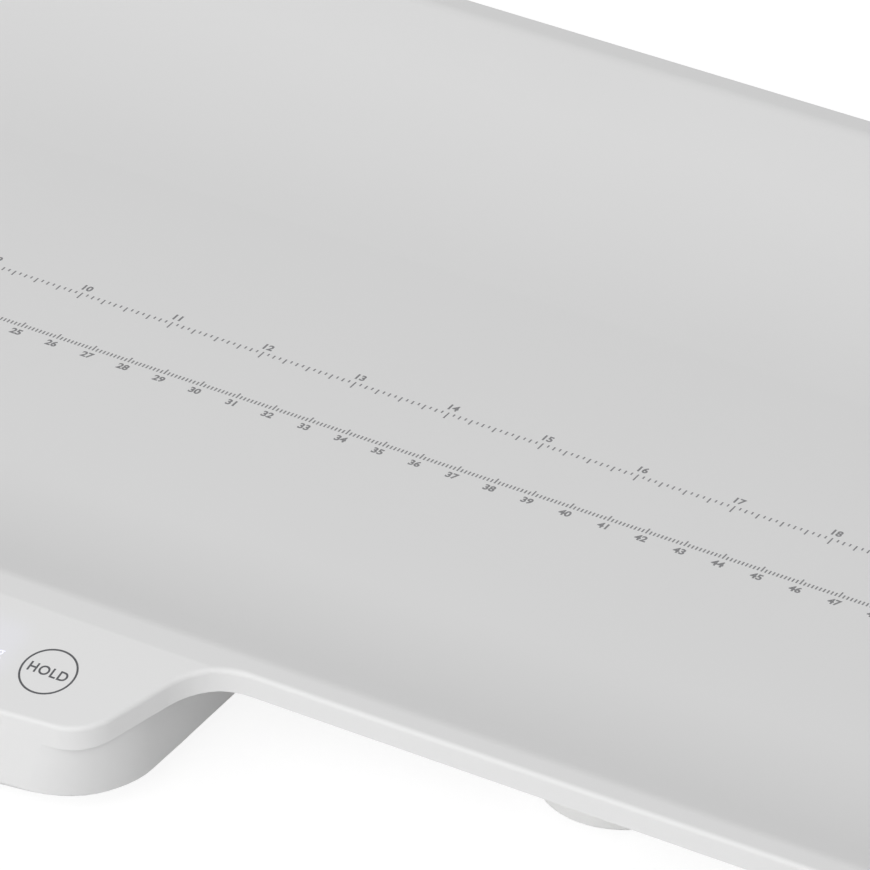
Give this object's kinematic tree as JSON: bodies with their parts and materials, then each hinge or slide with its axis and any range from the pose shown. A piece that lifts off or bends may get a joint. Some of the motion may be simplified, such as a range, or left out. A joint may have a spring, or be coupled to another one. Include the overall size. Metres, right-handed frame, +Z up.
{
  "type": "digital baby weighing scale",
  "caption": "Low cradle-shaped weighing tray with printed length rulers, a sloping key and display panel at its front edge, and weighing feet on load cells.",
  "frame": {"origin": "on the ground, under the middle of the scale's bounding box", "axes": "+X along the tray to the user's right, -Y towards the key panel, +Z up"},
  "size_m": [0.612, 0.2985, 0.0418],
  "materials": {
    "tray_abs": "white ABS, fine satin moulding",
    "cover_abs": "white ABS, satin",
    "door_abs": "white ABS, satin",
    "button_abs": "grey ABS, satin",
    "foot_abs": "white ABS, satin",
    "pad_rubber": "pale anti-slip silicone rubber",
    "cell_steel": "stamped alloy steel, nickel plated",
    "screw_steel": "zinc plated",
    "spring_steel": "tinned spring wire",
    "contact_steel": "nickel plated",
    "clamp_plastic": "natural nylon",
    "gauge_silicone": "white silicone cover",
    "board_laminate": "green solder mask on glass laminate",
    "chip_epoxy": "black moulding compound",
    "buzzer_plastic": "black plastic",
    "socket_nylon": "natural nylon",
    "display_plastic": "white display moulding",
    "diffuser_film": "translucent white film",
    "battery_jacket": "plain dark shrink jacket",
    "switch_plastic": "black plastic"
  },
  "bodies": {
    "base": {"top_shell": "tray_abs", "bottom_cover": "cover_abs", "display_diffuser": "diffuser_film", "led_display": "display_plastic", "key_board": "board_laminate", "board_chip": "chip_epoxy", "buzzer": "buzzer_plastic", "lead_sockets": "socket_nylon", "touch_spring_on_off": "spring_steel", "touch_spring_hold": "spring_steel", "board_screws": "screw_steel", "shell_screws": "screw_steel", "clamp_screws": "screw_steel", "strain_gauges": "gauge_silicone", "batteries": "battery_jacket", "contact_plates": "contact_steel", "battery_springs": "contact_steel", "unit_switch": "switch_plastic", "unit_board": "board_laminate", "unit_board_screws": "screw_steel", "load_cell_front_left": "cell_steel", "load_cell_clamp_front_left": "clamp_plastic", "load_cell_front_right": "cell_steel", "load_cell_clamp_front_right": "clamp_plastic", "load_cell_back_left": "cell_steel", "load_cell_clamp_back_left": "clamp_plastic", "load_cell_back_right": "cell_steel", "load_cell_clamp_back_right": "clamp_plastic"},
    "foot_front_left": {"foot_cup_front_left": "foot_abs", "foot_pad_front_left": "pad_rubber", "foot_screw_front_left": "screw_steel"},
    "foot_front_right": {"foot_cup_front_right": "foot_abs", "foot_pad_front_right": "pad_rubber", "foot_screw_front_right": "screw_steel"},
    "foot_back_left": {"foot_cup_back_left": "foot_abs", "foot_pad_back_left": "pad_rubber", "foot_screw_back_left": "screw_steel"},
    "foot_back_right": {"foot_cup_back_right": "foot_abs", "foot_pad_back_right": "pad_rubber", "foot_screw_back_right": "screw_steel"},
    "battery_door": {"battery_door": "door_abs"},
    "unit_button": {"unit_button": "button_abs", "switch_plunger": "switch_plastic"}
  },
  "joints": [
    {"name": "foot_front_left_press", "type": "slide", "parent": "base", "child": "foot_front_left", "axis": [0, 0, 1], "range_m": [0, 0.0006], "stiffness_N_per_m": 2000, "springref_m": -0.002},
    {"name": "foot_front_right_press", "type": "slide", "parent": "base", "child": "foot_front_right", "axis": [0, 0, 1], "range_m": [0, 0.0006], "stiffness_N_per_m": 2000, "springref_m": -0.002},
    {"name": "foot_back_left_press", "type": "slide", "parent": "base", "child": "foot_back_left", "axis": [0, 0, 1], "range_m": [0, 0.0006], "stiffness_N_per_m": 2000, "springref_m": -0.002},
    {"name": "foot_back_right_press", "type": "slide", "parent": "base", "child": "foot_back_right", "axis": [0, 0, 1], "range_m": [0, 0.0006], "stiffness_N_per_m": 2000, "springref_m": -0.002},
    {"name": "battery_door_hinge", "type": "hinge", "parent": "base", "child": "battery_door", "pos_m": [0, -0.1053, 0.0055], "axis": [-1, 0, 0], "range_deg": [0, 60]},
    {"name": "unit_button_press", "type": "slide", "parent": "base", "child": "unit_button", "axis": [0, 0, 1], "range_m": [0, 0.0006], "stiffness_N_per_m": 800, "springref_m": -0.0005}
  ]
}
